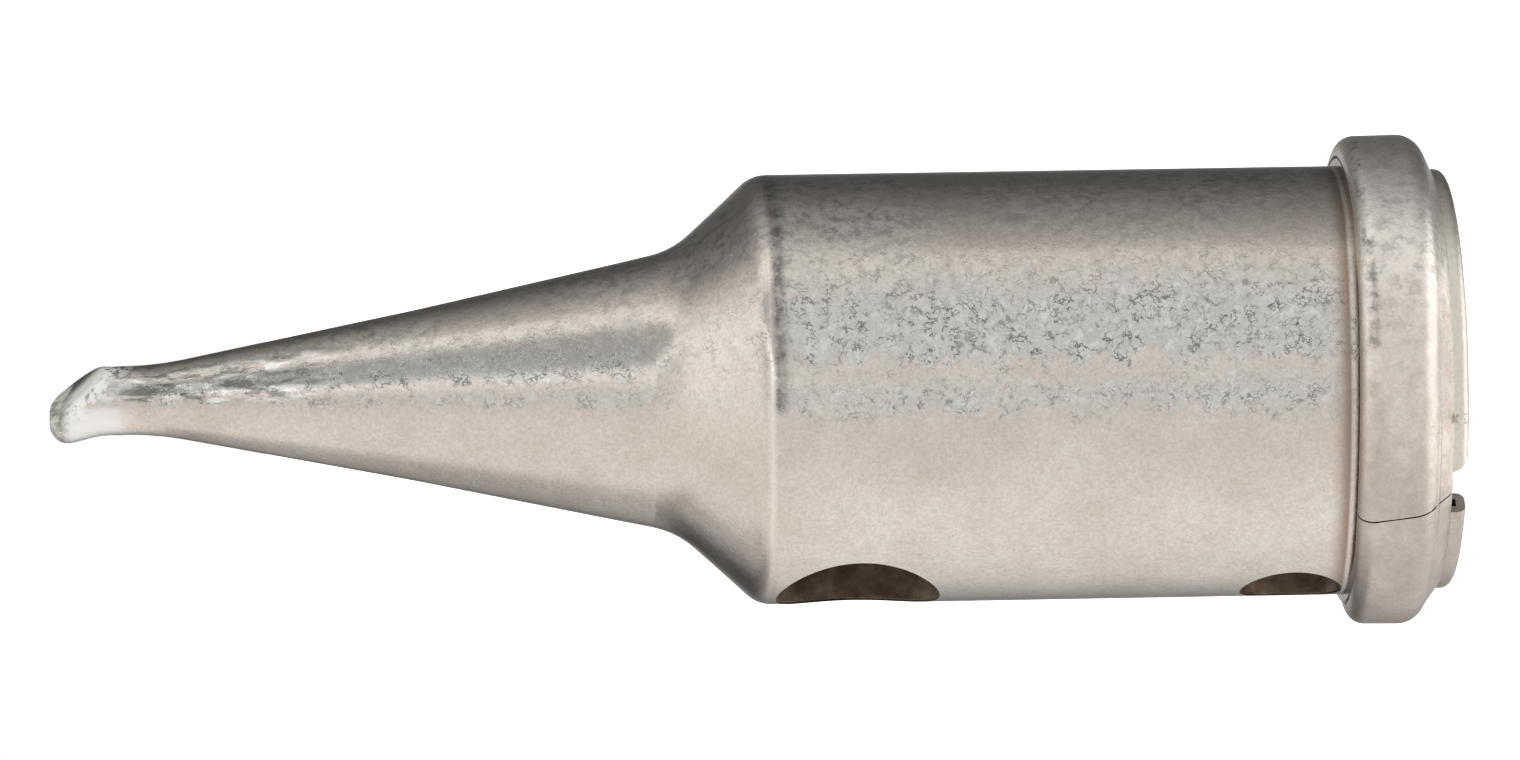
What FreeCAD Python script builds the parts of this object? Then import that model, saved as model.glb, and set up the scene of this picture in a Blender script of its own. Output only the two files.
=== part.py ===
import FreeCAD, Part
import math
import os

# Gas heated soldering iron tip, standing on its rear rim.
# +Z runs along the axis from the rear rim to the bit. The origin is the centre of the rear rim.
# The two side ports look nearly along -X. Lengths are in millimetres, angles in degrees.

# Hollow cylinder and its bore, which is open at the rear and narrower in the front chamber
BORE_R = 4.90
WALL = 1.01
BODY_R = BORE_R + WALL
BORE_MOUTH_CHAMFER = 0.15
SEAT_WIDTH = 0.40
CHAMBER_END_Z = 18.98

# Shoulder and tapered shank, which is slightly hollow between its base and its neck
SHOULDER_ANGLE = 42.6
SHOULDER_EDGE_FILLET = 1.0
SHANK_BASE_Z = 21.30
SHANK_BASE_R = 3.875
SHANK_BASE_FILLET = 2.4
SHANK_HOLLOW = 0.061
NECK_Z = 35.53
NECK_R = 0.946
NECK_FILLET = 8.0

# Bit: the end of the neck swells on the side of its toe. Each section of the swelling has its
# height above the neck, what it adds to the neck's radius, and its shift towards the toe.
TOE_AZIMUTH = 148.0
NECK_LENGTH = 0.85
BIT_LENGTH = 2.05
BIT_SECTIONS = (
    (0.00, 0.000, 0.000),
    (0.45, 0.002, 0.004),
    (0.90, 0.026, 0.042),
    (1.30, 0.049, 0.125),
    (1.70, 0.059, 0.172),
    (BIT_LENGTH, 0.059, 0.185),
)
TOE_ROUND_R = 0.50

# Slanted working face, which is ground on the bit from this far above the neck
FACE_START_RISE = 0.80
FACE_START_R = 0.765
FACE_ANGLE = 40.8
FACE_EDGE_FILLET = 0.26

# Side ports: distance from the rear rim and diameter
PORT_AZIMUTH = 182.0
FRONT_PORT_Z = 16.42
FRONT_PORT_D = 4.50
REAR_PORT_Z = 4.52
REAR_PORT_D = 2.80

# Rear flange of the body, which the collar is crimped around, with a land that shows before the lip
CRIMP_GAP = 0.02
LAND_HEIGHT = 0.26
LAND_RISE = 0.07
LAND_CHAMFER = 0.06

# Collar: one strip of sheet, drawn as the line of its outer face from the lip to the folded rim
STRIP_T = 0.25
LIP_Z = 2.87
LIP_R = BODY_R + LAND_HEIGHT + CRIMP_GAP
LIP_WIDTH = 0.535
COLLAR_R = LIP_R + LIP_WIDTH
COLLAR_FLARE = 0.025
FRONT_EDGE_FILLET = 0.50
REAR_EDGE_Z = 0.68
REAR_EDGE_FILLET = 0.70
RIM_INSET = 0.13
RIM_R = BODY_R - RIM_INSET
RIM_START_Z = 0.42
RIM_FILLET = 0.25
RIM_MOUTH_GAP = 0.08
RIM_INNER_R = BORE_R + RIM_MOUTH_GAP
RIM_RETURN_Z = 0.43

# Butt seam of the strip, and the notch that starts beside it in the rim
SEAM_AZIMUTH = 224.0
SEAM_GAP = 0.05
SEAM_SLANT = 7.5
NOTCH_START_AZIMUTH = 219.0
NOTCH_ANGLE = 12.8
NOTCH_DEPTH = 0.43
NOTCH_CORNER_R = 0.55

# Catalyst roll against its seat in the bore, and the snap ring that holds it there
CATALYST_SEAT_Z = 13.48
CATALYST_LENGTH = 6.62
CATALYST_GAP = 0.04
CATALYST_BORE_R = 1.60
SNAP_RING_T = 0.50
SNAP_RING_WIDTH = 0.62
SNAP_RING_GAP_ANGLE = 40.0
SNAP_RING_GAP_AZIMUTH = 180.0
GROOVE_DEPTH = 0.22
GROOVE_PLAY = 0.02

# A round of a turned profile is a true arc, a chamfer or, on the bent sheet, a few straight chords
TRUE_ARC = 0
CHAMFER = 1
CHORDS = 3


def point(r, z):
    """A point of a turned profile, which is drawn in the XZ plane."""
    return FreeCAD.Vector(r, 0, z)


def line(start, end):
    """Straight edge."""
    return Part.LineSegment(start, end).toShape()


def rounded_path(corners):
    """Edges through corners of radius, height, size of round and number of chords in the round."""
    edges = []
    start = point(corners[0][0], corners[0][1])
    for index in range(1, len(corners)):
        corner = point(corners[index][0], corners[index][1])
        size, chords = corners[index][2:]
        if size == 0:
            edges.append(line(start, corner))
            start = corner
            continue
        back = point(corners[index - 1][0], corners[index - 1][1]) - corner
        ahead = point(corners[index + 1][0], corners[index + 1][1]) - corner
        half = back.getAngle(ahead) / 2
        back.normalize()
        ahead.normalize()
        bisector = (back + ahead).normalize()
        first = corner + back * (size / math.tan(half))
        last = corner + ahead * (size / math.tan(half))
        middle = corner + bisector * (size / math.sin(half) - size)
        arc = Part.Arc(first, middle, last)
        edges.append(line(start, first))
        if chords == TRUE_ARC:
            edges.append(arc.toShape())
        else:
            stops = arc.discretize(chords + 1)
            edges += [line(a, b) for a, b in zip(stops, stops[1:])]
        start = last
    return edges


def inner_path(corners, distance):
    """Corners of a path beside another one, at this distance on its right, with plain chamfers."""
    beside = []
    for index, (r, z, size, chords) in enumerate(corners):
        before = corners[max(index - 1, 0)]
        after = corners[min(index + 1, len(corners) - 1)]
        towards = FreeCAD.Vector(r - before[0], z - before[1], 0)
        onwards = FreeCAD.Vector(after[0] - r, after[1] - z, 0)
        if index == 0:
            towards = onwards
        if index == len(corners) - 1:
            onwards = towards
        towards = FreeCAD.Vector(towards).normalize()
        onwards = FreeCAD.Vector(onwards).normalize()
        mitre = (towards + onwards) / (1 + towards.dot(onwards)) * distance
        beside.append((r + mitre.y, z - mitre.x, max(size - distance, 0), CHAMFER))
    return beside


def turned(edges, angle=360.0):
    """Solid turned around the axis from a closed profile."""
    face = Part.Face(Part.Wire(Part.sortEdges(edges)[0]))
    return face.revolve(point(0, 0), FreeCAD.Vector(0, 0, 1), angle)


def turn_to(shape, azimuth):
    """Turn a shape built along +X to the azimuth, around the axis."""
    shape.rotate(FreeCAD.Vector(0, 0, 0), FreeCAD.Vector(0, 0, 1), azimuth)
    return shape


def port_drill(z, diameter):
    """Drill that makes a side port, from inside the bore to outside the body."""
    drill = Part.makeCylinder(diameter / 2, BODY_R, point(BODY_R / 2, z), FreeCAD.Vector(1, 0, 0))
    return turn_to(drill, PORT_AZIMUTH)


def collar_face():
    """Corners of the outer face of the collar, from its lip to the end of its folded rim."""
    return [
        (LIP_R, LIP_Z, 0, TRUE_ARC),
        (COLLAR_R, LIP_Z, FRONT_EDGE_FILLET, CHORDS),
        (COLLAR_R + COLLAR_FLARE, REAR_EDGE_Z, REAR_EDGE_FILLET, CHORDS),
        (RIM_R, RIM_START_Z, 0, TRUE_ARC),
        (RIM_R, 0, RIM_FILLET, CHORDS),
        (RIM_INNER_R, 0, RIM_FILLET, CHORDS),
        (RIM_INNER_R, RIM_RETURN_Z, 0, TRUE_ARC),
    ]


def build_collar():
    """One strip of sheet, crimped to a ring, with a butt seam and a notch in its rear rim."""
    outside = collar_face()
    inside = inner_path(outside, STRIP_T)
    ring = turned(
        rounded_path(outside)
        + rounded_path(inside)
        + rounded_path([outside[0], inside[0][:2] + (0, TRUE_ARC)])
        + rounded_path([outside[-1], inside[-1][:2] + (0, TRUE_ARC)])
    )

    outside_r = 2 * COLLAR_R
    start = FreeCAD.Vector(BORE_R / 2, -SEAM_GAP / 2, -LIP_Z / 2)
    slit = Part.makeBox(outside_r, SEAM_GAP, 2 * LIP_Z, start)
    slit.rotate(point(0, LIP_Z / 2), FreeCAD.Vector(1, 0, 0), SEAM_SLANT)
    ring = ring.cut(turn_to(slit, SEAM_AZIMUTH))

    notch = turned(rounded_path([
        (BORE_R / 2, -NOTCH_DEPTH, 0, TRUE_ARC),
        (outside_r, -NOTCH_DEPTH, 0, TRUE_ARC),
        (outside_r, NOTCH_DEPTH, 0, TRUE_ARC),
        (BORE_R / 2, NOTCH_DEPTH, 0, TRUE_ARC),
        (BORE_R / 2, -NOTCH_DEPTH, 0, TRUE_ARC),
    ]), NOTCH_ANGLE)
    ring = ring.cut(turn_to(notch, NOTCH_START_AZIMUTH))

    start = FreeCAD.Vector(BORE_R / 2, -SEAM_GAP, -NOTCH_CORNER_R)
    corner = Part.makeBox(COLLAR_R, NOTCH_CORNER_R + SEAM_GAP, 2 * NOTCH_CORNER_R, start)
    rounding = Part.makeCylinder(
        NOTCH_CORNER_R,
        outside_r,
        FreeCAD.Vector(0, NOTCH_CORNER_R, NOTCH_CORNER_R),
        FreeCAD.Vector(1, 0, 0),
    )
    return ring.cut(turn_to(corner.cut(rounding), NOTCH_START_AZIMUTH + NOTCH_ANGLE))


def flange_path():
    """Corners of the body's rear flange: the land ahead of the lip, then the inside of the collar."""
    inside = inner_path(collar_face(), STRIP_T + CRIMP_GAP)
    land_r = LIP_R - CRIMP_GAP
    rear_z = RIM_RETURN_Z + CRIMP_GAP
    return [
        (land_r - LAND_CHAMFER, LIP_Z + LAND_RISE, 0, TRUE_ARC),
        (land_r, LIP_Z + LAND_RISE - LAND_CHAMFER, 0, TRUE_ARC),
        (land_r, inside[1][1], 0, TRUE_ARC),
        inside[1],
        inside[2],
        inside[3],
        (inside[3][0], rear_z, 0, TRUE_ARC),
        (BORE_R + BORE_MOUTH_CHAMFER, rear_z, 0, TRUE_ARC),
        (BORE_R, rear_z + BORE_MOUTH_CHAMFER, 0, TRUE_ARC),
    ]


def edges_in_plane(solid, base, normal):
    """Edges of a solid that lie in the plane through this point."""
    found = []
    for edge in solid.Edges:
        distances = [abs((place - base).dot(normal)) for place in edge.discretize(5)]
        if max(distances) < 1e-4:
            found.append(edge)
    return found


def build_bit():
    """Swelling end of the neck with a rounded toe, cut off by the slanted working face."""
    start_z = NECK_Z + NECK_LENGTH
    wires = []
    for height, widening, shift in BIT_SECTIONS:
        centre = FreeCAD.Vector(shift, 0, start_z + height)
        circle = Part.Circle(centre, FreeCAD.Vector(0, 0, 1), NECK_R + widening)
        wires.append(Part.Wire(circle.toShape()))
    bit = Part.makeLoft(wires, True, False)
    end = point(0, start_z + BIT_LENGTH)
    bit = bit.makeFillet(TOE_ROUND_R, edges_in_plane(bit, end, FreeCAD.Vector(0, 0, 1)))

    slope = math.radians(FACE_ANGLE)
    face_point = point(-FACE_START_R, start_z + FACE_START_RISE)
    face_normal = point(-math.cos(slope), math.sin(slope))
    size = 4 * BIT_LENGTH
    ground_off = Part.makeBox(size, size, size, FreeCAD.Vector(-size, -size / 2, -size / 2))
    ground_off.rotate(FreeCAD.Vector(0, 0, 0), FreeCAD.Vector(0, 1, 0), FACE_ANGLE)
    ground_off.translate(face_point)
    bit = bit.cut(ground_off)
    bit = bit.makeFillet(FACE_EDGE_FILLET, edges_in_plane(bit, face_point, face_normal))
    return turn_to(bit, TOE_AZIMUTH)


def build_body():
    """Turned copper body: rear flange, hollow cylinder, shoulder, shank and bit, with two ports."""
    shoulder_z = SHANK_BASE_Z - (BODY_R - SHANK_BASE_R) / math.tan(math.radians(SHOULDER_ANGLE))
    taper = math.atan2(SHANK_BASE_R - NECK_R, NECK_Z - SHANK_BASE_Z)
    middle_r = (SHANK_BASE_R + NECK_R) / 2 - SHANK_HOLLOW * math.cos(taper)
    middle_z = (SHANK_BASE_Z + NECK_Z) / 2 - SHANK_HOLLOW * math.sin(taper)
    chamber_r = BORE_R - SEAT_WIDTH

    body = turned(rounded_path([
        (0, NECK_Z + NECK_LENGTH, 0, TRUE_ARC),
        (NECK_R, NECK_Z + NECK_LENGTH, 0, TRUE_ARC),
        (NECK_R, NECK_Z, NECK_FILLET, CHORDS),
        (middle_r, middle_z, 0, TRUE_ARC),
        (SHANK_BASE_R, SHANK_BASE_Z, SHANK_BASE_FILLET, TRUE_ARC),
        (BODY_R, shoulder_z, SHOULDER_EDGE_FILLET, TRUE_ARC),
        (BODY_R, LIP_Z + LAND_RISE, 0, TRUE_ARC),
        *flange_path(),
        (BORE_R, CATALYST_SEAT_Z, 0, TRUE_ARC),
        (chamber_r, CATALYST_SEAT_Z, 0, TRUE_ARC),
        (chamber_r, CHAMBER_END_Z, 0, TRUE_ARC),
        (0, CHAMBER_END_Z, 0, TRUE_ARC),
        (0, NECK_Z + NECK_LENGTH, 0, TRUE_ARC),
    ]))
    body = body.fuse(build_bit()).removeSplitter()

    groove_width = SNAP_RING_T + GROOVE_PLAY
    groove_z = CATALYST_SEAT_Z - CATALYST_LENGTH - SNAP_RING_T
    body = body.cut(Part.makeCylinder(BORE_R + GROOVE_DEPTH, groove_width, point(0, groove_z)))
    return body.cut([port_drill(FRONT_PORT_Z, FRONT_PORT_D), port_drill(REAR_PORT_Z, REAR_PORT_D)])


def build_catalyst():
    """Porous roll that fills the bore between the ports, with a hole down its middle."""
    start = point(0, CATALYST_SEAT_Z - CATALYST_LENGTH)
    roll = Part.makeCylinder(BORE_R - CATALYST_GAP, CATALYST_LENGTH, start)
    return roll.cut(Part.makeCylinder(CATALYST_BORE_R, CATALYST_LENGTH, start))


def build_retaining_ring():
    """Split ring of flat spring steel, sprung into the groove behind the catalyst."""
    outer_r = BORE_R + GROOVE_DEPTH
    rear_z = CATALYST_SEAT_Z - CATALYST_LENGTH - SNAP_RING_T
    ring = turned(rounded_path([
        (outer_r, rear_z, 0, TRUE_ARC),
        (outer_r, rear_z + SNAP_RING_T, 0, TRUE_ARC),
        (outer_r - SNAP_RING_WIDTH, rear_z + SNAP_RING_T, 0, TRUE_ARC),
        (outer_r - SNAP_RING_WIDTH, rear_z, 0, TRUE_ARC),
        (outer_r, rear_z, 0, TRUE_ARC),
    ]), 360.0 - SNAP_RING_GAP_ANGLE)
    return turn_to(ring, SNAP_RING_GAP_AZIMUTH + SNAP_RING_GAP_ANGLE / 2)


os.makedirs("parts", exist_ok=True)
build_body().exportStep("parts/tip_body.step")
build_collar().exportStep("parts/collar.step")
build_catalyst().exportStep("parts/catalyst.step")
build_retaining_ring().exportStep("parts/retaining_ring.step")
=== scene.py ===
import math

import bmesh
import bpy
from mathutils import Matrix, Vector


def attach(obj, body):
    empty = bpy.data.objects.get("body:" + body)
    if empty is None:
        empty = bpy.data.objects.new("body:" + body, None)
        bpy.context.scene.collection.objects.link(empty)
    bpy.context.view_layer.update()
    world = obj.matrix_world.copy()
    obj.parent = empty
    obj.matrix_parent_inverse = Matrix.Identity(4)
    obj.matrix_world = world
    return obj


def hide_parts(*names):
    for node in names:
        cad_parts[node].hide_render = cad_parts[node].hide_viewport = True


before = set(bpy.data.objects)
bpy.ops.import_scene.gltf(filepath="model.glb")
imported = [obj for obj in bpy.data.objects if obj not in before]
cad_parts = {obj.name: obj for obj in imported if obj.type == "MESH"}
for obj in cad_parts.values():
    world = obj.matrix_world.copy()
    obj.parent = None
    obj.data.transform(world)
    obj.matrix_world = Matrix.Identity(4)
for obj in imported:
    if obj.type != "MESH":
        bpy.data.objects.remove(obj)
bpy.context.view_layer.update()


# Tip body: one piece of copper, turned, drilled and plated. Heat has dulled and crazed the plating
# and scaled the inside, solder has tinned the bit, and painted shade browns the body beside the collar.
def linear(hex_colour):
    """Linear colour of an sRGB hex value."""
    channels = [int(hex_colour[i:i + 2], 16) / 255 for i in (1, 3, 5)]
    return [c / 12.92 if c <= 0.04045 else ((c + 0.055) / 1.055) ** 2.4 for c in channels] + [1.0]


def add_node(tree, kind, settings=None, inputs=None, stops=None):
    """Add a node with its settings, its values or links, and the stops of its ramp.

    Inputs go by name, or by number where a name repeats: a mix has its share at 0, its numbers at 2
    and 3 and its colours at 6 and 7.
    """
    node = tree.nodes.new(kind)
    for name, value in (settings or {}).items():
        setattr(node, name, value)
    for name, value in (inputs or {}).items():
        if isinstance(value, bpy.types.NodeSocket):
            tree.links.new(value, node.inputs[name])
        else:
            node.inputs[name].default_value = value
    if stops:
        ramp = node.color_ramp.elements
        for position, colour in stops[2:]:
            ramp.new(position).color = colour
        for element, (position, colour) in zip(list(ramp), sorted(stops, key=lambda stop: stop[0])):
            element.position = position
            element.color = colour
    return node


def grey(value):
    """Colour of a ramp stop that only carries a number."""
    return (value, value, value, 1.0)


# Nickel plating on copper, made dull by heat: warm grey, cloudy, with fine dark crazing in a cool
# grey band along one side, and a soft gloss that the crazing breaks up. Its sizes are in millimetres,
# its relief in metres. A ramp along the tip runs over RAMP_SPAN from the rear rim, and a ramp round
# it over one turn.
CRAZE_CELL = 0.34
CLOUD = 2.6
BLOTCH = 0.75
TARNISH_SPOT = 0.36
SPLASH = 0.30
CRUST_LUMP = 0.22
GRAIN = 0.10
SMEARS_PER_MM = (4.0, 4.0, 0.9)
RAMP_SPAN = 40.0
FRAY = 0.34
RAGGED = 1.2
LIP_HEIGHT = 2.83
LIP_TILT = 0.122
LIP_FORWARD = 0.27
LIP_FORWARD_TURN = math.radians(40)
COLLAR_SHADE_REACH = 1.0
INSIDE_FRONT_Z = 18.98
TINNED_Z = 36.4
TOE_Z = 37.95
FACE_NORMAL = (0.259, 0.711, 0.653)
FACE_PLANE = 24.857
INSIDE_R = 5.86
CRAZED_SIDE = math.radians(258)
PLATING_RELIEF = 0.000006

plating = bpy.data.materials.new("dulled_nickel_plating")
plating.use_nodes = True
tree = plating.node_tree
shader = tree.nodes["Principled BSDF"]
shader.inputs["Metallic"].default_value = 1.0

position = add_node(tree, "ShaderNodeTexCoord").outputs["Object"]
in_mm = add_node(tree, "ShaderNodeMapping", inputs={
    "Vector": position, "Rotation": (0, 0, -CRAZED_SIDE), "Scale": (1000, 1000, 1000),
}).outputs["Vector"]
axes = add_node(tree, "ShaderNodeSeparateXYZ", inputs={"Vector": in_mm})
height = axes.outputs["Z"]
flat = add_node(tree, "ShaderNodeVectorMath", {"operation": "MULTIPLY"}, {0: in_mm, 1: (1, 1, 0)})
radius = add_node(tree, "ShaderNodeVectorMath", {"operation": "LENGTH"}, {0: flat.outputs["Vector"]})
around = add_node(tree, "ShaderNodeMath", {"operation": "ARCTAN2"}, {
    0: axes.outputs["Y"], 1: axes.outputs["X"],
})
clouds = add_node(tree, "ShaderNodeTexNoise", inputs={
    "Vector": in_mm, "Scale": 1 / CLOUD, "Detail": 5.0, "Roughness": 0.62,
})
blotches = add_node(tree, "ShaderNodeTexNoise", inputs={
    "Vector": in_mm, "Scale": 1 / BLOTCH, "Detail": 4.0, "Roughness": 0.65,
})
grain = add_node(tree, "ShaderNodeTexNoise", inputs={
    "Vector": in_mm, "Scale": 1 / GRAIN, "Detail": 3.0, "Roughness": 0.6,
})
splashes = add_node(tree, "ShaderNodeTexNoise", inputs={
    "Vector": in_mm, "Scale": 1 / SPLASH, "Detail": 3.0, "Roughness": 0.7,
})
frayed = add_node(tree, "ShaderNodeMath", {"operation": "MULTIPLY_ADD"}, {
    0: blotches.outputs["Fac"], 1: FRAY, 2: around.outputs["Value"],
}).outputs["Value"]
turn = add_node(tree, "ShaderNodeMapRange", inputs={
    "Value": frayed, "From Min": FRAY / 2 - math.pi, "From Max": FRAY / 2 + math.pi,
}).outputs["Result"]

# The crazing is drawn as the level lines of two noises, broken by a third, so that it wanders.
wander = add_node(tree, "ShaderNodeTexNoise", inputs={
    "Vector": in_mm, "Scale": 1 / CRAZE_CELL, "Detail": 2.5, "Roughness": 0.55,
})
levels = add_node(tree, "ShaderNodeVectorMath", {"operation": "SUBTRACT"}, {
    0: wander.outputs["Color"], 1: (0.5, 0.5, 0.0),
}).outputs["Vector"]
off_level = add_node(tree, "ShaderNodeVectorMath", {"operation": "ABSOLUTE"}, {
    0: levels,
}).outputs["Vector"]
channels = add_node(tree, "ShaderNodeSeparateXYZ", inputs={"Vector": off_level})
nearest = add_node(tree, "ShaderNodeMath", {"operation": "MINIMUM"}, {
    0: channels.outputs["X"], 1: channels.outputs["Y"],
}).outputs["Value"]
unbroken = add_node(tree, "ShaderNodeMapRange", inputs={
    "Value": nearest, "From Min": 0.004, "From Max": 0.030, "To Min": 1.0, "To Max": 0.0,
}).outputs["Result"]
breaks = add_node(tree, "ShaderNodeMapRange", inputs={
    "Value": channels.outputs["Z"], "From Min": 0.44, "From Max": 0.54,
}).outputs["Result"]
lines = add_node(tree, "ShaderNodeMath", {"operation": "MULTIPLY"}, {
    0: unbroken, 1: breaks,
}).outputs["Value"]
clumps = add_node(tree, "ShaderNodeMapRange", {"interpolation_type": "SMOOTHSTEP"}, {
    "Value": blotches.outputs["Fac"], "From Min": 0.40, "From Max": 0.60,
}).outputs["Result"]

# The band is widest on one side, has a narrower one below it, and faint patches run all round.
band = add_node(tree, "ShaderNodeValToRGB", inputs={"Fac": turn}, stops=[
    (0.0, grey(0.25)), (1.0, grey(0.25)), (0.40, grey(0.12)), (0.474, grey(0.08)),
    (0.487, grey(0.80)), (0.499, grey(0.75)), (0.508, grey(0.25)), (0.515, grey(0.35)),
    (0.524, grey(1.0)), (0.556, grey(1.0)), (0.574, grey(0.75)), (0.596, grey(0.30)),
    (0.64, grey(0.25)),
]).outputs["Color"]
along = add_node(tree, "ShaderNodeMapRange", inputs={
    "Value": height, "From Max": RAMP_SPAN,
}).outputs["Result"]
reach = add_node(tree, "ShaderNodeValToRGB", inputs={"Fac": along}, stops=[
    (0.0, grey(0.6)), (1.0, grey(0.6)), (0.083, grey(0.6)), (0.10, grey(1.0)), (0.46, grey(0.9)),
    (0.478, grey(0.35)), (0.53, grey(0.30)), (0.56, grey(0.75)), (0.80, grey(0.85)), (0.93, grey(1.0)),
]).outputs["Color"]
crazed = add_node(tree, "ShaderNodeMath", {"operation": "MULTIPLY"}, {
    0: band, 1: reach,
}).outputs["Value"]
patchy = add_node(tree, "ShaderNodeMath", {"operation": "MULTIPLY_ADD", "use_clamp": True}, {
    0: clumps, 1: 0.65, 2: 0.35,
}).outputs["Value"]
crazing = add_node(tree, "ShaderNodeMath", {"operation": "MULTIPLY"}, {
    0: crazed, 1: patchy,
}).outputs["Value"]
cracks = add_node(tree, "ShaderNodeMath", {"operation": "MULTIPLY"}, {
    0: crazing, 1: lines,
}).outputs["Value"]

warm = add_node(tree, "ShaderNodeValToRGB", inputs={"Fac": clouds.outputs["Fac"]}, stops=[
    (0.30, linear("#c8bbaf")), (0.70, linear("#dad1c7")), (0.50, linear("#d1c6bb")),
]).outputs["Color"]
cool_share = add_node(tree, "ShaderNodeMath", {"operation": "MULTIPLY"}, {
    0: crazed, 1: 0.85,
}).outputs["Value"]
cool = add_node(tree, "ShaderNodeMix", {"data_type": "RGBA"}, {
    0: cool_share, 6: warm, 7: linear("#c2c3be"),
}).outputs[2]
tarnish_side = add_node(tree, "ShaderNodeValToRGB", inputs={"Fac": turn}, stops=[
    (0.0, grey(0.35)), (1.0, grey(0.35)), (0.30, grey(0.12)), (0.50, grey(0.10)), (0.56, grey(0.25)),
    (0.62, grey(0.60)), (0.70, grey(0.80)), (0.76, grey(0.55)),
]).outputs["Color"]
speck_noise = add_node(tree, "ShaderNodeTexNoise", inputs={
    "Vector": in_mm, "Scale": 1 / TARNISH_SPOT, "Detail": 5.0, "Roughness": 0.72,
})
tarnish_spots = add_node(tree, "ShaderNodeMapRange", {"interpolation_type": "SMOOTHSTEP"}, {
    "Value": speck_noise.outputs["Fac"], "From Min": 0.42, "From Max": 0.64,
}).outputs["Result"]
cloudy = add_node(tree, "ShaderNodeMapRange", inputs={
    "Value": clouds.outputs["Fac"], "From Min": 0.35, "From Max": 0.65, "To Min": 0.15, "To Max": 1.0,
}).outputs["Result"]
uneven = add_node(tree, "ShaderNodeMath", {"operation": "MULTIPLY"}, {
    0: tarnish_spots, 1: cloudy,
}).outputs["Value"]
tarnish = add_node(tree, "ShaderNodeMath", {"operation": "MULTIPLY"}, {0: tarnish_side, 1: uneven})
tarnished = add_node(tree, "ShaderNodeMix", {"data_type": "RGBA"}, {
    0: tarnish.outputs["Value"], 6: cool, 7: linear("#83817c"),
}).outputs[2]
specks = add_node(tree, "ShaderNodeMapRange", inputs={
    "Value": grain.outputs["Fac"], "From Min": 0.35, "From Max": 0.65, "To Min": 0.90, "To Max": 1.07,
}).outputs["Result"]
speckled = add_node(tree, "ShaderNodeVectorMath", {"operation": "SCALE"}, {
    0: tarnished, "Scale": specks,
}).outputs["Vector"]
flecks = add_node(tree, "ShaderNodeMapRange", {"interpolation_type": "SMOOTHSTEP"}, {
    "Value": splashes.outputs["Fac"], "From Min": 0.52, "From Max": 0.66, "To Max": 0.55,
}).outputs["Result"]
pale_flecks = add_node(tree, "ShaderNodeMath", {"operation": "MULTIPLY"}, {
    0: crazed, 1: flecks,
}).outputs["Value"]
flecked = add_node(tree, "ShaderNodeMix", {"data_type": "RGBA"}, {
    0: pale_flecks, 6: speckled, 7: linear("#dedfda"),
}).outputs[2]
crack_strength = add_node(tree, "ShaderNodeMath", {"operation": "MULTIPLY"}, {
    0: cracks, 1: 0.95,
}).outputs["Value"]
cracked = add_node(tree, "ShaderNodeMix", {"data_type": "RGBA"}, {
    0: crack_strength, 6: flecked, 7: linear("#505453"),
}).outputs[2]

# A brown band of painted shade lies on the body before the collar, standing for the collar's shade and
# reflection, and follows the collar's askew lip. At the shoulder's edge a pale line is a painted
# highlight, with a mottled painted dark reflection behind it on the crazed side.
lip_turn = add_node(tree, "ShaderNodeMath", {"operation": "ADD"}, {
    0: around.outputs["Value"], 1: LIP_FORWARD_TURN,
})
lip_cosine = add_node(tree, "ShaderNodeMath", {"operation": "COSINE"}, {0: lip_turn.outputs["Value"]})
lip_forward = add_node(tree, "ShaderNodeMath", {"operation": "MAXIMUM"}, {
    0: lip_cosine.outputs["Value"], 1: 0.0,
})
lip_sine = add_node(tree, "ShaderNodeMath", {"operation": "SINE"}, {0: around.outputs["Value"]})
before_askew = add_node(tree, "ShaderNodeMath", {"operation": "MULTIPLY_ADD"}, {
    0: lip_sine.outputs["Value"], 1: -LIP_TILT, 2: height,
})
before_lip = add_node(tree, "ShaderNodeMath", {"operation": "MULTIPLY_ADD"}, {
    0: lip_forward.outputs["Value"], 1: -LIP_FORWARD, 2: before_askew.outputs["Value"],
})
# Painted shade: a brown band on the body just before the collar's askew lip.
collar_shade_place = add_node(tree, "ShaderNodeMapRange", inputs={
    "Value": before_lip.outputs["Value"], "From Min": LIP_HEIGHT, "From Max": LIP_HEIGHT + COLLAR_SHADE_REACH,
}).outputs["Result"]
collar_shade = add_node(tree, "ShaderNodeValToRGB", inputs={"Fac": collar_shade_place}, stops=[
    (0.0, grey(0.55)), (1.0, grey(0.0)), (0.06, grey(0.45)), (0.10, grey(0.10)), (0.16, grey(0.15)),
    (0.22, grey(0.88)), (0.34, grey(0.70)), (0.50, grey(0.28)), (0.70, grey(0.0)),
]).outputs["Color"]
collar_shaded = add_node(tree, "ShaderNodeMix", {"data_type": "RGBA"}, {
    0: collar_shade, 6: cracked, 7: linear("#84705f"),
}).outputs[2]
# Painted highlight: a pale line round the shoulder's edge, strongest on one side.
shoulder_highlight_line = add_node(tree, "ShaderNodeValToRGB", inputs={"Fac": along}, stops=[
    (0.0, grey(0.0)), (1.0, grey(0.0)), (0.4700, grey(0.0)), (0.4718, grey(0.80)), (0.4735, grey(0.80)),
    (0.4755, grey(0.0)),
]).outputs["Color"]
highlight_side = add_node(tree, "ShaderNodeValToRGB", inputs={"Fac": turn}, stops=[
    (0.0, grey(0.1)), (1.0, grey(0.1)), (0.30, grey(0.5)), (0.46, grey(0.6)), (0.51, grey(1.0)),
    (0.575, grey(1.0)), (0.60, grey(0.0)), (0.73, grey(0.0)),
]).outputs["Color"]
shoulder_highlight = add_node(tree, "ShaderNodeMath", {"operation": "MULTIPLY"}, {0: shoulder_highlight_line, 1: highlight_side})
highlighted = add_node(tree, "ShaderNodeMix", {"data_type": "RGBA"}, {
    0: shoulder_highlight.outputs["Value"], 6: collar_shaded, 7: linear("#f2ebe1"),
}).outputs[2]
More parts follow.
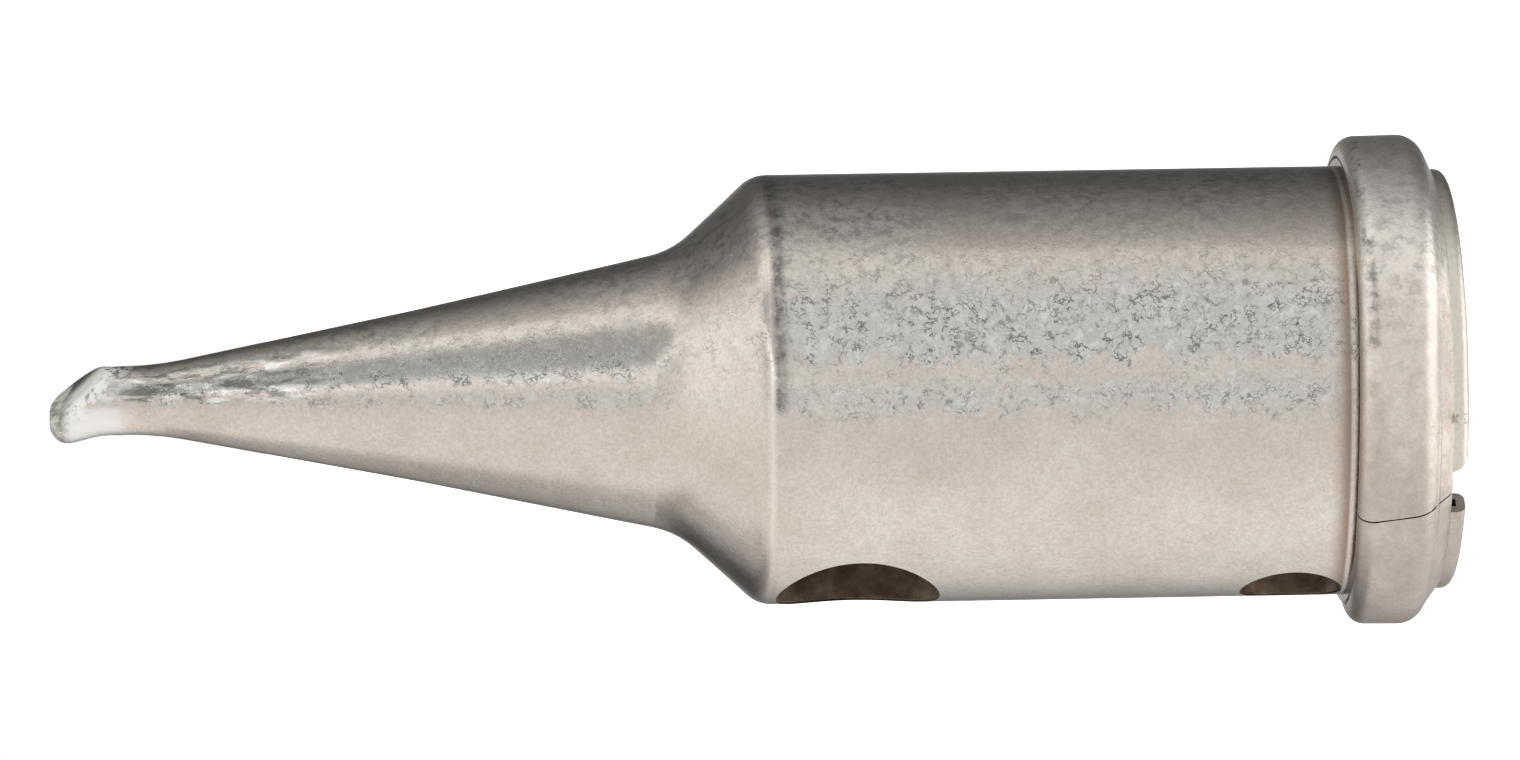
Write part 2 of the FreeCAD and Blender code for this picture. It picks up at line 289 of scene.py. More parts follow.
# Painted dark reflection: a mottled dark patch on the rounding just behind the shoulder's edge, on the
# crazed side.
patch_along = add_node(tree, "ShaderNodeValToRGB", inputs={"Fac": along}, stops=[
    (0.0, grey(0.0)), (1.0, grey(0.0)), (0.4600, grey(0.0)), (0.4650, grey(0.9)), (0.4690, grey(0.9)),
    (0.4712, grey(0.0)),
]).outputs["Color"]
patch_side = add_node(tree, "ShaderNodeValToRGB", inputs={"Fac": turn}, stops=[
    (0.0, grey(0.0)), (1.0, grey(0.0)), (0.478, grey(0.0)), (0.490, grey(1.0)), (0.72, grey(0.9)),
    (0.76, grey(0.0)),
]).outputs["Color"]
patch_place = add_node(tree, "ShaderNodeMath", {"operation": "MULTIPLY"}, {
    0: patch_along, 1: patch_side,
})
patch_spots = add_node(tree, "ShaderNodeMapRange", inputs={
    "Value": tarnish_spots, "To Min": 0.45,
}).outputs["Result"]
shoulder_dark_reflection = add_node(tree, "ShaderNodeMath", {"operation": "MULTIPLY"}, {
    0: patch_place.outputs["Value"], 1: patch_spots,
}).outputs["Value"]
dark_reflected = add_node(tree, "ShaderNodeMix", {"data_type": "RGBA"}, {
    0: shoulder_dark_reflection, 6: highlighted, 7: linear("#616462"),
}).outputs[2]

# Next to the bit the crazed side is smeared lengthwise with burnt flux and bright old solder.
smear_space = add_node(tree, "ShaderNodeVectorMath", {"operation": "MULTIPLY"}, {
    0: in_mm, 1: SMEARS_PER_MM,
})
smears = add_node(tree, "ShaderNodeTexNoise", inputs={
    "Vector": smear_space.outputs["Vector"], "Scale": 1.0, "Detail": 4.0, "Roughness": 0.65,
})
smear_along = add_node(tree, "ShaderNodeValToRGB", inputs={"Fac": along}, stops=[
    (0.0, grey(0.0)), (1.0, grey(0.0)), (0.74, grey(0.0)), (0.80, grey(0.75)), (0.90, grey(1.0)),
    (0.925, grey(0.35)),
]).outputs["Color"]
smear_side = add_node(tree, "ShaderNodeValToRGB", inputs={"Fac": turn}, stops=[
    (0.0, grey(0.0)), (1.0, grey(0.0)), (0.485, grey(0.0)), (0.50, grey(1.0)), (0.62, grey(1.0)),
    (0.66, grey(0.0)),
]).outputs["Color"]
smear_place = add_node(tree, "ShaderNodeMath", {"operation": "MULTIPLY"}, {
    0: smear_along, 1: smear_side,
})
burnt = add_node(tree, "ShaderNodeMapRange", {"interpolation_type": "SMOOTHSTEP"}, {
    "Value": smears.outputs["Fac"], "From Min": 0.50, "From Max": 0.40, "To Max": 0.85,
}).outputs["Result"]
burnt_place = add_node(tree, "ShaderNodeMath", {"operation": "MULTIPLY"}, {
    0: smear_place.outputs["Value"], 1: burnt,
})
smeared = add_node(tree, "ShaderNodeMix", {"data_type": "RGBA"}, {
    0: burnt_place.outputs["Value"], 6: dark_reflected, 7: linear("#6a6c64"),
}).outputs[2]
shiny = add_node(tree, "ShaderNodeMapRange", {"interpolation_type": "SMOOTHSTEP"}, {
    "Value": smears.outputs["Fac"], "From Min": 0.54, "From Max": 0.62, "To Max": 0.85,
}).outputs["Result"]
shiny_place = add_node(tree, "ShaderNodeMath", {"operation": "MULTIPLY"}, {
    0: smear_place.outputs["Value"], 1: shiny,
})
streaked = add_node(tree, "ShaderNodeMix", {"data_type": "RGBA"}, {
    0: shiny_place.outputs["Value"], 6: smeared, 7: linear("#f2f3ee"),
}).outputs[2]

# Tin on the bit: smooth, with painted reflection making it pale on its lower side; in bright splashes,
# partly painted highlight, along the rim of the working face; painted shade on the far half of the face
# and painted light on its near half; and a rough grey crust of old solder on the toe.
ragged = add_node(tree, "ShaderNodeMath", {"operation": "MULTIPLY_ADD"}, {
    0: blotches.outputs["Fac"], 1: RAGGED, 2: height,
}).outputs["Value"]
tin_along = add_node(tree, "ShaderNodeMapRange", {"interpolation_type": "SMOOTHSTEP"}, {
    "Value": ragged, "From Min": TINNED_Z + 0.10, "From Max": TINNED_Z + 1.10,
}).outputs["Result"]
# Painted reflection: the tin is made pale mostly on the bit's lower side.
lower_side_sheen = add_node(tree, "ShaderNodeMapRange", {"interpolation_type": "SMOOTHSTEP"}, {
    "Value": axes.outputs["Y"], "From Min": -0.28, "From Max": -0.12, "To Min": 1.0, "To Max": 0.25,
}).outputs["Result"]
tin_and_sheen = add_node(tree, "ShaderNodeMath", {"operation": "MULTIPLY"}, {
    0: tin_along, 1: lower_side_sheen,
}).outputs["Value"]
over_tin_and_sheen = add_node(tree, "ShaderNodeMix", {"data_type": "RGBA"}, {
    0: tin_and_sheen, 6: streaked, 7: linear("#e4e1dd"),
}).outputs[2]
over_face = add_node(tree, "ShaderNodeVectorMath", {"operation": "DOT_PRODUCT"}, {
    0: in_mm, 1: FACE_NORMAL,
}).outputs["Value"]
# Partly tin splashes and partly a painted highlight along the rim of the working face.
rim_place = add_node(tree, "ShaderNodeMapRange", inputs={
    "Value": over_face, "From Min": FACE_PLANE - 1.0, "From Max": FACE_PLANE + 0.1,
}).outputs["Result"]
rim_band = add_node(tree, "ShaderNodeValToRGB", inputs={"Fac": rim_place}, stops=[
    (0.0, grey(0.0)), (1.0, grey(0.3)), (0.25, grey(0.0)), (0.55, grey(0.60)), (0.84, grey(1.0)),
    (0.90, grey(0.4)),
]).outputs["Color"]
splash_spots = add_node(tree, "ShaderNodeMapRange", {"interpolation_type": "SMOOTHSTEP"}, {
    "Value": splashes.outputs["Fac"], "From Min": 0.46, "From Max": 0.52,
}).outputs["Result"]
splash_and_highlight = add_node(tree, "ShaderNodeMath", {"operation": "MULTIPLY"}, {
    0: rim_band, 1: splash_spots,
}).outputs["Value"]
over_splash = add_node(tree, "ShaderNodeMix", {"data_type": "RGBA"}, {
    0: splash_and_highlight, 6: over_tin_and_sheen, 7: linear("#f3f1ec"),
}).outputs[2]
on_face = add_node(tree, "ShaderNodeMapRange", {"interpolation_type": "SMOOTHSTEP"}, {
    "Value": over_face, "From Min": FACE_PLANE - 0.10, "From Max": FACE_PLANE - 0.04,
}).outputs["Result"]
on_toe = add_node(tree, "ShaderNodeMapRange", {"interpolation_type": "SMOOTHSTEP"}, {
    "Value": ragged, "From Min": TOE_Z + 0.50, "From Max": TOE_Z + 0.75,
}).outputs["Result"]
crusted = add_node(tree, "ShaderNodeMath", {"operation": "MAXIMUM"}, {
    0: on_face, 1: on_toe,
}).outputs["Value"]
# Painted light and shade: the working face is light on its near half and dark on its far half.
face_lit_share = add_node(tree, "ShaderNodeMapRange", {"interpolation_type": "SMOOTHSTEP"}, {
    "Value": axes.outputs["X"], "From Min": -0.25, "From Max": 0.45,
}).outputs["Result"]
face_light_and_shade = add_node(tree, "ShaderNodeMix", {"data_type": "RGBA"}, {
    0: face_lit_share, 6: linear("#57564f"), 7: linear("#ecebe4"),
}).outputs[2]
crust_noise = add_node(tree, "ShaderNodeTexNoise", inputs={
    "Vector": in_mm, "Scale": 1 / CRUST_LUMP, "Detail": 4.0, "Roughness": 0.65,
})
crust = add_node(tree, "ShaderNodeValToRGB", inputs={"Fac": crust_noise.outputs["Fac"]}, stops=[
    (0.36, linear("#85837a")), (0.64, linear("#dedcd4")), (0.50, linear("#b3b1a6")),
]).outputs["Color"]
faced = add_node(tree, "ShaderNodeMix", {"data_type": "RGBA"}, {
    0: on_face, 6: over_splash, 7: face_light_and_shade,
}).outputs[2]
over_toe = add_node(tree, "ShaderNodeMix", {"data_type": "RGBA"}, {
    0: on_toe, 6: faced, 7: crust,
}).outputs[2]
oxide = add_node(tree, "ShaderNodeMath", {"operation": "MAXIMUM"}, {
    0: crusted, 1: splash_and_highlight,
}).outputs["Value"]
bare = add_node(tree, "ShaderNodeMapRange", inputs={
    "Value": oxide, "To Min": 1.0, "To Max": 0.30,
}).outputs["Result"]
tree.links.new(bare, shader.inputs["Metallic"])

# Inside the bore and the ports the copper is bare and has turned to brown scale.
behind_shoulder = add_node(tree, "ShaderNodeMath", {"operation": "LESS_THAN"}, {
    0: height, 1: INSIDE_FRONT_Z,
})
below_skin = add_node(tree, "ShaderNodeMapRange", {"interpolation_type": "SMOOTHSTEP"}, {
    "Value": radius.outputs["Value"], "From Min": INSIDE_R - 0.04, "From Max": INSIDE_R + 0.02,
    "To Min": 1.0, "To Max": 0.0,
})
inside = add_node(tree, "ShaderNodeMath", {"operation": "MULTIPLY"}, {
    0: behind_shoulder.outputs["Value"], 1: below_skin.outputs["Result"],
}).outputs["Value"]
scale = add_node(tree, "ShaderNodeValToRGB", inputs={"Fac": blotches.outputs["Fac"]}, stops=[
    (0.35, linear("#6b5a4b")), (0.65, linear("#9c8a79")), (0.50, linear("#83715f")),
]).outputs["Color"]
colour = add_node(tree, "ShaderNodeMix", {"data_type": "RGBA"}, {
    0: inside, 6: over_toe, 7: scale,
}).outputs[2]
tree.links.new(colour, shader.inputs["Base Color"])

smooth = add_node(tree, "ShaderNodeMapRange", inputs={
    "Value": clouds.outputs["Fac"], "From Min": 0.3, "From Max": 0.7, "To Min": 0.15, "To Max": 0.24,
}).outputs["Result"]
rough_cracks = add_node(tree, "ShaderNodeMath", {"operation": "MULTIPLY_ADD"}, {
    0: cracks, 1: 0.3, 2: smooth,
})
rough_tin = add_node(tree, "ShaderNodeMix", inputs={
    0: tin_and_sheen, 2: rough_cracks.outputs["Value"], 3: 0.30,
})
rough_toe = add_node(tree, "ShaderNodeMix", inputs={0: oxide, 2: rough_tin.outputs[0], 3: 0.55})
rough = add_node(tree, "ShaderNodeMix", inputs={0: inside, 2: rough_toe.outputs[0], 3: 0.6})
tree.links.new(rough.outputs[0], shader.inputs["Roughness"])

# GRAIN is coarser than the grain of real plating, so that it shows at this size.
skin = add_node(tree, "ShaderNodeMath", {"operation": "MULTIPLY_ADD"}, {
    0: grain.outputs["Fac"], 1: 0.22, 2: wander.outputs["Fac"],
}).outputs["Value"]
grooves = add_node(tree, "ShaderNodeMath", {"operation": "MULTIPLY_ADD"}, {
    0: cracks, 1: -1.4, 2: skin,
}).outputs["Value"]
lumps = add_node(tree, "ShaderNodeMath", {"operation": "MULTIPLY_ADD"}, {
    0: crust_noise.outputs["Fac"], 1: 5.0, 2: grooves,
}).outputs["Value"]
relief = add_node(tree, "ShaderNodeMix", inputs={0: oxide, 2: grooves, 3: lumps}).outputs[0]
bump = add_node(tree, "ShaderNodeBump", inputs={
    "Height": relief, "Distance": PLATING_RELIEF, "Strength": 1.0,
})
tree.links.new(bump.outputs["Normal"], shader.inputs["Normal"])

for material_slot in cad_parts["tip_body"].material_slots:
    material_slot.material = plating


# Collar: a strip of thin steel, bent round, with its ends butted at a slanted seam, and crimped over
# the body's flange. It sits a little askew, and its rear edge is folded to a narrow rim with a notch.
STRIP_T = 0.00025
LIP_Z = 0.00287
LIP_R = 0.00619
COLLAR_R = 0.006725
FLARED_R = 0.00675
REAR_EDGE_Z = 0.00068
RIM_R = 0.00578
RIM_START_Z = 0.00042
RIM_INNER_R = 0.00498
RIM_RETURN_Z = 0.00043
FRONT_ROUND = 0.00050
REAR_ROUND = 0.00054
RIM_ROUND = 0.00025
HIGH_SIDE = math.radians(348)
LIP_ASKEW = 0.000122
LIP_LOWERED = 0.000043
LIP_RAISED_AT = math.radians(218)
LIP_RAISED = 0.00028
REAR_ASKEW = 0.000080
REAR_RAISED = 0.000127
REAR_NEAR_SIDE = math.radians(258)
REAR_NEAR_RAISED = 0.00016
COLLAR_SIDES = 288
ON_EDGE = 1e-6
AT_CORNER = 1e-5


def pick(test):
    """Select in edit mode the points of the piece that pass a test of radius and height in metres."""
    mesh = bmesh.from_edit_mesh(bpy.context.edit_object.data)
    bpy.ops.mesh.select_all(action="DESELECT")
    for place in mesh.verts:
        place.select = test(math.hypot(place.co.x, place.co.y), place.co.z)
    mesh.select_flush(True)
    bmesh.update_edit_mesh(bpy.context.edit_object.data)


bpy.ops.object.select_all(action="DESELECT")
bpy.ops.mesh.primitive_cylinder_add(
    vertices=COLLAR_SIDES, radius=COLLAR_R, depth=LIP_Z - REAR_EDGE_Z, end_fill_type="NOTHING",
    location=(0, 0, (LIP_Z + REAR_EDGE_Z) / 2),
)
strip = bpy.context.object
strip.name = "crimped_collar"
bpy.ops.object.transform_apply()
bpy.ops.object.mode_set(mode="EDIT")
pick(lambda r, z: z < REAR_EDGE_Z + ON_EDGE)
bpy.ops.transform.resize(value=(FLARED_R / COLLAR_R, FLARED_R / COLLAR_R, 1))
pick(lambda r, z: z > LIP_Z - ON_EDGE)
bpy.ops.mesh.extrude_region_move()
bpy.ops.transform.resize(value=(LIP_R / COLLAR_R, LIP_R / COLLAR_R, 1))
pick(lambda r, z: z < REAR_EDGE_Z + ON_EDGE)
bpy.ops.mesh.extrude_region_move(TRANSFORM_OT_translate={"value": (0, 0, RIM_START_Z - REAR_EDGE_Z)})
bpy.ops.transform.resize(value=(RIM_R / FLARED_R, RIM_R / FLARED_R, 1))
bpy.ops.mesh.extrude_region_move(TRANSFORM_OT_translate={"value": (0, 0, -RIM_START_Z)})
bpy.ops.mesh.extrude_region_move()
bpy.ops.transform.resize(value=(RIM_INNER_R / RIM_R, RIM_INNER_R / RIM_R, 1))
bpy.ops.mesh.extrude_region_move(TRANSFORM_OT_translate={"value": (0, 0, RIM_RETURN_Z)})
for corner_r, corner_z, size in (
    (COLLAR_R, LIP_Z, FRONT_ROUND),
    (FLARED_R, REAR_EDGE_Z, REAR_ROUND),
    (RIM_R, 0, RIM_ROUND),
    (RIM_INNER_R, 0, RIM_ROUND),
):
    pick(lambda r, z: abs(r - corner_r) < AT_CORNER and abs(z - corner_z) < AT_CORNER)
    bpy.ops.mesh.bevel(offset=size, segments=8, affect="EDGES", clamp_overlap=False)

# The seam is a slanted slit through the strip, and the notch beside it has one rounded corner.
SEAM_AZIMUTH = math.radians(224)
SEAM_SLANT = math.radians(7.5)
SEAM_GAP = 0.00005
NOTCH_FROM = math.radians(219)
NOTCH_TO = math.radians(231.8)
NOTCH_DEPTH = 0.00043
NOTCH_CORNER_R = 0.00055
NOTCH_CORNER_CUTS = (10, 24, 38, 52, 66, 80)
CUT_REACH = 0.1
CORNER_REACH = 0.2
SAME_POINT = 1e-8


def pick_faces(test):
    """Select in edit mode the faces whose centre passes a test."""
    mesh = bmesh.from_edit_mesh(bpy.context.edit_object.data)
    bpy.ops.mesh.select_all(action="DESELECT")
    for face in mesh.faces:
        face.select_set(bool(test(face.calc_center_median())))
    bmesh.update_edit_mesh(bpy.context.edit_object.data)


def azimuth_of(place):
    """Azimuth of a place, from 0 to a full turn."""
    return math.atan2(place.y, place.x) % (2 * math.pi)


def across(azimuth, lean):
    """Normal of a plane through the axis at this azimuth, leaned over towards the bit."""
    return Vector((
        -math.sin(azimuth) * math.cos(lean), math.cos(azimuth) * math.cos(lean), math.sin(lean),
    ))


bpy.ops.mesh.select_mode(type="FACE")
seam_normal = across(SEAM_AZIMUTH, SEAM_SLANT)
seam_middle = Vector((0, 0, LIP_Z / 2))
for offset in (-SEAM_GAP / 2, SEAM_GAP / 2):
    pick_faces(lambda place: abs(azimuth_of(place) - SEAM_AZIMUTH) < CUT_REACH)
    bpy.ops.mesh.bisect(
        plane_co=seam_middle + seam_normal * offset, plane_no=seam_normal, threshold=SAME_POINT,
    )
pick_faces(lambda place: abs(azimuth_of(place) - SEAM_AZIMUTH) < CUT_REACH
           and abs((place - seam_middle).dot(seam_normal)) < SEAM_GAP / 2)
bpy.ops.mesh.delete(type="FACE")
for azimuth in (NOTCH_FROM, NOTCH_TO):
    pick_faces(lambda place: abs(azimuth_of(place) - azimuth) < CUT_REACH and place.z < NOTCH_DEPTH)
    bpy.ops.mesh.bisect(plane_co=(0, 0, 0), plane_no=across(azimuth, 0), threshold=SAME_POINT)
pick_faces(lambda place: NOTCH_FROM < azimuth_of(place) < NOTCH_TO
           and place.z < NOTCH_DEPTH and math.hypot(place.x, place.y) < RIM_R + ON_EDGE)
bpy.ops.mesh.delete(type="FACE")
along_rim = across(NOTCH_TO, 0)
round_middle = along_rim * NOTCH_CORNER_R + Vector((0, 0, NOTCH_CORNER_R))
for degrees in NOTCH_CORNER_CUTS:
    turned = math.radians(degrees)
    outwards = -along_rim * math.cos(turned) - Vector((0, 0, math.sin(turned)))
    touching = round_middle + outwards * NOTCH_CORNER_R
    pick_faces(lambda place: NOTCH_TO < azimuth_of(place) < NOTCH_TO + CORNER_REACH
               and place.z < NOTCH_DEPTH)
    bpy.ops.mesh.bisect(plane_co=touching, plane_no=outwards, threshold=SAME_POINT)
    pick_faces(lambda place: NOTCH_TO < azimuth_of(place) < NOTCH_TO + CORNER_REACH
               and place.z < NOTCH_DEPTH and math.hypot(place.x, place.y) < RIM_R + ON_EDGE
               and (place - touching).dot(outwards) > 0)
    bpy.ops.mesh.delete(type="FACE")
bpy.ops.mesh.select_mode(type="VERT")
bpy.ops.object.mode_set(mode="OBJECT")
outer_face = len(strip.data.vertices)
thickness = strip.modifiers.new("thickness", "SOLIDIFY")
thickness.thickness = STRIP_T
thickness.offset = -1
thickness.use_even_offset = True
bpy.ops.object.modifier_apply(modifier=thickness.name)

# The crimping pulled only the outer face askew: the lip one way and the rear edge the other, and
# both stand further forward on the side of the seam. Solidify lists the outer face's points first.
MIDDLE_Z = 0.0018
LIP_RAISED_POWER = 1.3
REAR_SPREAD = 0.0005

for place in strip.data.vertices[:outer_face]:
    azimuth_here = math.atan2(place.co.y, place.co.x)
    side = math.cos(azimuth_here - HIGH_SIDE)
    r = math.hypot(place.co.x, place.co.y)
    if place.co.z > MIDDLE_Z:
        raised = LIP_RAISED * max(0.0, math.cos(azimuth_here - LIP_RAISED_AT)) ** LIP_RAISED_POWER
        place.co.z += LIP_ASKEW * side - LIP_LOWERED + raised
    elif r > RIM_R + AT_CORNER:
        share = min(1.0, (r - RIM_R) / REAR_SPREAD)
        raised = REAR_NEAR_RAISED * max(0.0, math.cos(azimuth_here - REAR_NEAR_SIDE))
        place.co.z += (REAR_RAISED - REAR_ASKEW * side + raised) * share

bpy.ops.object.shade_smooth_by_angle(angle=math.radians(32))

# Thin sheet steel, plated with the same nickel and stained by heat: grey brown blotches, most of them
# along the front edge of the high side, painted light on the upper side and painted shade on the low
# side, pale on the folded rim and brown inside, with a soft uneven gloss. Its sizes are in millimetres,
# its relief in metres.
SHEET_CLOUD = 1.5
SHEET_BLOTCH = 0.45
CLOUD_STRETCH = (1, 1, 1.6)
COLLAR_SPAN = 3.0
SHEET_RELIEF = 0.000005

sheet = bpy.data.materials.new("heat_stained_sheet_steel")
sheet.use_nodes = True
tree = sheet.node_tree
shader = tree.nodes["Principled BSDF"]
shader.inputs["Metallic"].default_value = 1.0
position = add_node(tree, "ShaderNodeTexCoord").outputs["Object"]
in_mm = add_node(tree, "ShaderNodeMapping", inputs={
    "Vector": position, "Rotation": (0, 0, -CRAZED_SIDE), "Scale": (1000, 1000, 1000),
}).outputs["Vector"]
axes = add_node(tree, "ShaderNodeSeparateXYZ", inputs={"Vector": in_mm})
flat = add_node(tree, "ShaderNodeVectorMath", {"operation": "MULTIPLY"}, {0: in_mm, 1: (1, 1, 0)})
radius = add_node(tree, "ShaderNodeVectorMath", {"operation": "LENGTH"}, {0: flat.outputs["Vector"]})
stretched = add_node(tree, "ShaderNodeVectorMath", {"operation": "MULTIPLY"}, {
    0: in_mm, 1: CLOUD_STRETCH,
})
clouds = add_node(tree, "ShaderNodeTexNoise", inputs={
    "Vector": stretched.outputs["Vector"], "Scale": 1 / SHEET_CLOUD, "Detail": 5.0, "Roughness": 0.62,
})
blotches = add_node(tree, "ShaderNodeTexNoise", inputs={
    "Vector": in_mm, "Scale": 1 / SHEET_BLOTCH, "Detail": 4.0, "Roughness": 0.7,
})
grain = add_node(tree, "ShaderNodeTexNoise", inputs={
    "Vector": in_mm, "Scale": 1 / GRAIN, "Detail": 3.0, "Roughness": 0.6,
})
base = add_node(tree, "ShaderNodeValToRGB", inputs={"Fac": clouds.outputs["Fac"]}, stops=[
    (0.30, linear("#c3b7ac")), (0.70, linear("#ded6cd")), (0.50, linear("#d2c8be")),
]).outputs["Color"]
high = add_node(tree, "ShaderNodeMapRange", {"interpolation_type": "SMOOTHSTEP"}, {
    "Value": axes.outputs["Y"], "From Min": -0.8, "From Max": 4.0, "To Min": 0.12, "To Max": 0.38,
}).outputs["Result"]
spots = add_node(tree, "ShaderNodeMapRange", {"interpolation_type": "SMOOTHSTEP"}, {
    "Value": blotches.outputs["Fac"], "From Min": 0.44, "From Max": 0.68,
}).outputs["Result"]
along = add_node(tree, "ShaderNodeMapRange", inputs={
    "Value": axes.outputs["Z"], "From Max": COLLAR_SPAN,
}).outputs["Result"]
front_edge = add_node(tree, "ShaderNodeValToRGB", inputs={"Fac": along}, stops=[
    (0.0, grey(0.0)), (1.0, grey(0.10)), (0.80, grey(0.0)), (0.85, grey(0.70)), (0.93, grey(0.70)),
    (0.97, grey(0.10)),
]).outputs["Color"]
front_high = add_node(tree, "ShaderNodeMapRange", {"interpolation_type": "SMOOTHSTEP"}, {
    "Value": axes.outputs["Y"], "From Min": -1.2, "From Max": 1.0,
}).outputs["Result"]
front_dirt = add_node(tree, "ShaderNodeMath", {"operation": "MULTIPLY"}, {
    0: front_edge, 1: front_high,
}).outputs["Value"]
places = add_node(tree, "ShaderNodeMath", {"operation": "MAXIMUM"}, {
    0: high, 1: front_dirt,
}).outputs["Value"]
dirt = add_node(tree, "ShaderNodeMath", {"operation": "MULTIPLY"}, {
    0: places, 1: spots,
}).outputs["Value"]
# Painted shade: the collar darkens towards its low side.
low_side_shade = add_node(tree, "ShaderNodeMapRange", {"interpolation_type": "SMOOTHSTEP"}, {
    "Value": axes.outputs["Y"], "From Min": -0.8, "From Max": -3.6, "To Min": 0.0, "To Max": 0.55,
}).outputs["Result"]
shaded = add_node(tree, "ShaderNodeMix", {"data_type": "RGBA"}, {
    0: low_side_shade, 6: base, 7: linear("#a79b91"),
}).outputs[2]
# Painted light: the collar lightens towards its upper side.
upper_side_light = add_node(tree, "ShaderNodeMapRange", {"interpolation_type": "SMOOTHSTEP"}, {
    "Value": axes.outputs["Y"], "From Min": 0.8, "From Max": 3.2, "To Min": 0.0, "To Max": 0.85,
}).outputs["Result"]
upper_lit = add_node(tree, "ShaderNodeMix", {"data_type": "RGBA"}, {
    0: upper_side_light, 6: shaded, 7: linear("#e9e3db"),
}).outputs[2]
dirty = add_node(tree, "ShaderNodeMix", {"data_type": "RGBA"}, {
    0: dirt, 6: upper_lit, 7: linear("#716c69"),
}).outputs[2]
rim_part = add_node(tree, "ShaderNodeMapRange", {"interpolation_type": "SMOOTHSTEP"}, {
    "Value": radius.outputs["Value"], "From Min": 5.78, "From Max": 5.95, "To Min": 1.0, "To Max": 0.0,
}).outputs["Result"]
rim_high = add_node(tree, "ShaderNodeMapRange", {"interpolation_type": "SMOOTHSTEP"}, {
    "Value": axes.outputs["Y"], "From Min": -3.2, "From Max": -1.8,
}).outputs["Result"]
rim_pale = add_node(tree, "ShaderNodeMath", {"operation": "MULTIPLY"}, {
    0: rim_part, 1: rim_high,
}).outputs["Value"]
rimmed = add_node(tree, "ShaderNodeMix", {"data_type": "RGBA"}, {
    0: rim_pale, 6: dirty, 7: linear("#d6d1c5"),
}).outputs[2]
specks = add_node(tree, "ShaderNodeMapRange", inputs={
    "Value": grain.outputs["Fac"], "From Min": 0.35, "From Max": 0.65, "To Min": 0.93, "To Max": 1.05,
}).outputs["Result"]
speckled = add_node(tree, "ShaderNodeVectorMath", {"operation": "SCALE"}, {
    0: rimmed, "Scale": specks,
}).outputs["Vector"]
hidden = add_node(tree, "ShaderNodeMapRange", {"interpolation_type": "SMOOTHSTEP"}, {
    "Value": radius.outputs["Value"], "From Min": 4.95, "From Max": 5.12, "To Min": 0.8, "To Max": 0.0,
}).outputs["Result"]
colour = add_node(tree, "ShaderNodeMix", {"data_type": "RGBA"}, {
    0: hidden, 6: speckled, 7: linear("#76685b"),
}).outputs[2]
tree.links.new(colour, shader.inputs["Base Color"])
gloss = add_node(tree, "ShaderNodeMapRange", inputs={
    "Value": blotches.outputs["Fac"], "From Min": 0.3, "From Max": 0.7, "To Min": 0.30, "To Max": 0.42,
}).outputs["Result"]
tree.links.new(gloss, shader.inputs["Roughness"])
relief = add_node(tree, "ShaderNodeMath", {"operation": "MULTIPLY_ADD"}, {
    0: blotches.outputs["Fac"], 1: 3.0, 2: grain.outputs["Fac"],
}).outputs["Value"]
bump = add_node(tree, "ShaderNodeBump", inputs={
    "Height": relief, "Distance": SHEET_RELIEF, "Strength": 1.0,
})
tree.links.new(bump.outputs["Normal"], shader.inputs["Normal"])

strip.data.materials.append(sheet)
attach(strip, "root")
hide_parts("collar")


# Rim burr: a small lump of the collar's own sheet steel, raised where the strip was sheared to
# length. It is one metal with the folded rim, and stands half sunk in it.
BURR_R = 0.00022
BURR_SHAPE = (0.55, 0.85, 0.9)
BURR_LEAN = (0.2, 0.3)
BURR_AZIMUTH = math.radians(247)
BURR_FROM_AXIS = 0.00572
BURR_Z = 0.00022
BURR_UNEVEN = 0.000012

bpy.ops.object.select_all(action="DESELECT")
bpy.ops.mesh.primitive_ico_sphere_add(subdivisions=4, radius=BURR_R)
burr = bpy.context.object
burr.name = "rim_burr"
burr.scale = BURR_SHAPE
burr.rotation_euler = (*BURR_LEAN, BURR_AZIMUTH)
burr.location = (
    BURR_FROM_AXIS * math.cos(BURR_AZIMUTH), BURR_FROM_AXIS * math.sin(BURR_AZIMUTH), BURR_Z,
)
bpy.ops.object.transform_apply()
bpy.ops.object.mode_set(mode="EDIT")
bpy.ops.mesh.select_all(action="SELECT")
bpy.ops.transform.vertex_random(offset=BURR_UNEVEN, uniform=0.4, seed=5)
bpy.ops.object.mode_set(mode="OBJECT")
bpy.ops.object.shade_smooth()
burr.data.materials.append(sheet)
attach(burr, "root")


# Catalyst: a strip of ceramic fibre cloth, rolled up tight, on which the gas burns without a flame.
# It stands in the bore against its seat, and the retaining ring holds it there.
ROLL_REAR_Z = 0.00686
ROLL_FRONT_Z = 0.01348
ROLL_INNER_R = 0.00162
ROLL_OUTER_R = 0.00486
ROLL_END_PLAY = 0.0002
CLOTH_T = 0.00044
CLOTH_UNEVEN = 0.000018
TURNS = 5
SPARE_TURN = 0.25

pitch = (ROLL_OUTER_R - ROLL_INNER_R - CLOTH_T) / (TURNS + SPARE_TURN)
roll_length = ROLL_FRONT_Z - ROLL_REAR_Z - ROLL_END_PLAY
bpy.ops.object.select_all(action="DESELECT")
bpy.ops.mesh.primitive_plane_add(
    size=roll_length, rotation=(0, math.radians(90), 0),
    location=(ROLL_INNER_R - pitch / 4, 0, (ROLL_FRONT_Z + ROLL_REAR_Z) / 2),
)
roll = bpy.context.object
roll.name = "catalyst_roll"
bpy.ops.object.transform_apply()
bpy.ops.object.mode_set(mode="EDIT")
mesh = bmesh.from_edit_mesh(roll.data)
for place in mesh.verts:
    place.select = place.co.y < 0
mesh.select_flush(True)
bmesh.update_edit_mesh(roll.data)
bpy.ops.mesh.delete(type="VERT")
bpy.ops.mesh.select_all(action="SELECT")
bpy.ops.transform.translate(value=(0, -roll_length / 2, 0))
bpy.ops.mesh.subdivide(number_cuts=11)
